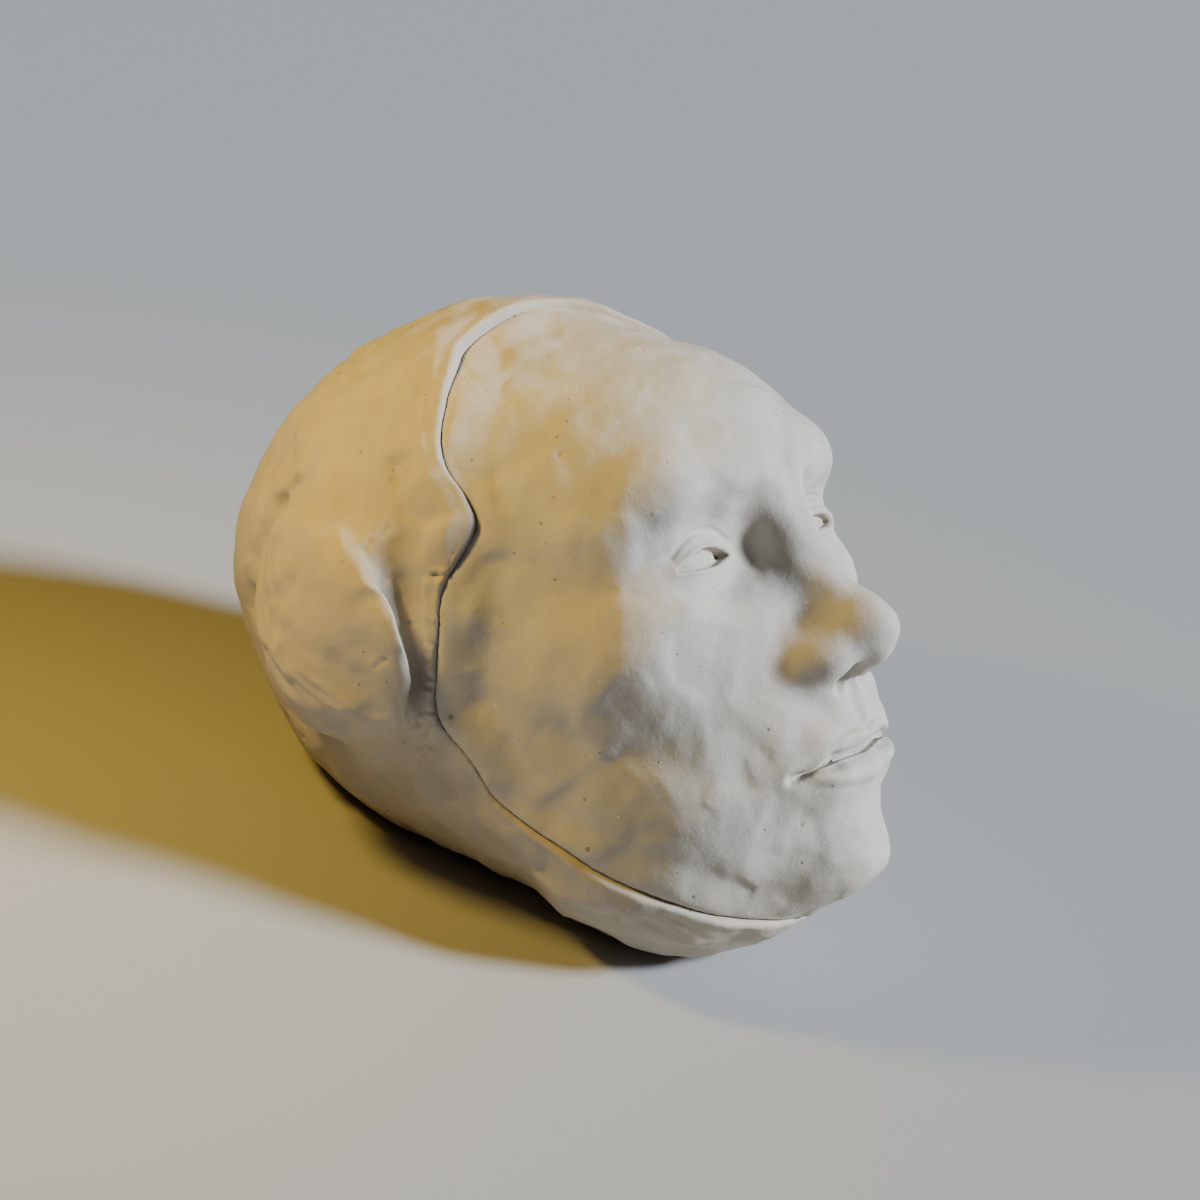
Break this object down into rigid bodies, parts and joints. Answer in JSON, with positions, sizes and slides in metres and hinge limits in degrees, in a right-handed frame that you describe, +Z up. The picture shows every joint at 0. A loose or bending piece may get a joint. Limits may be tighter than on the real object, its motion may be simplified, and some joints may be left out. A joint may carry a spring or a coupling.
{
  "type": "head sculpture",
  "caption": "Clay head with a calm modelled face set in a slab hood that wraps its crown, ears and jaw. It leans back and stands on a flat cut.",
  "frame": {"origin": "middle of the whole head's box, on the flat cut that it stands on", "axes": "+Z up, -Y the side that the face looks to, -X the head's own right, +X its left"},
  "size_m": [0.186, 0.2458, 0.1713],
  "materials": {
    "hood_clay": "matt unglazed clay with finger strokes",
    "face_clay": "matt unglazed clay, thumbed and lightly smoothed"
  },
  "bodies": {
    "root": {"hood": "hood_clay", "face": "face_clay"}
  },
  "joints": []
}
